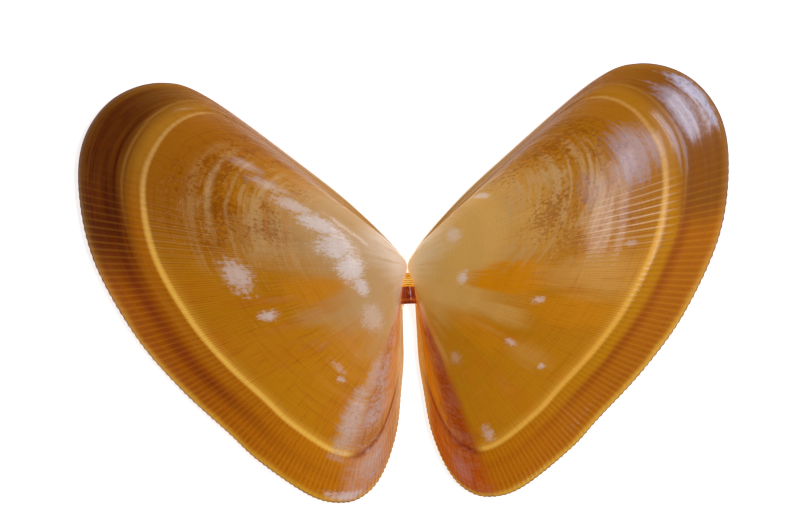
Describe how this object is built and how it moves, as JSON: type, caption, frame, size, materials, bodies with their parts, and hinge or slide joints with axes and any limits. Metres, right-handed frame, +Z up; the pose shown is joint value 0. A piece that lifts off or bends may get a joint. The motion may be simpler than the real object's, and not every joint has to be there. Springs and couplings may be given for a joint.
{
  "type": "wedge clam shell",
  "caption": "Wedge clam shell opened flat like wings, lying hollow side down, its valves still joined by the horny ligament behind the beaks.",
  "frame": {"origin": "on the plane that the valves' rims rest on, under the middle of the opened pair", "axes": "+X across the opened pair to the right valve's lower edge, +Y along the hinge line towards the long front ends, +Z up out of the domed outside"},
  "size_m": [0.0486, 0.0317, 0.0058],
  "materials": {
    "shell": "gloss",
    "ligament": "gloss"
  },
  "bodies": {
    "root": {"left_valve": "shell", "right_valve": "shell", "ligament": "ligament"}
  },
  "joints": []
}
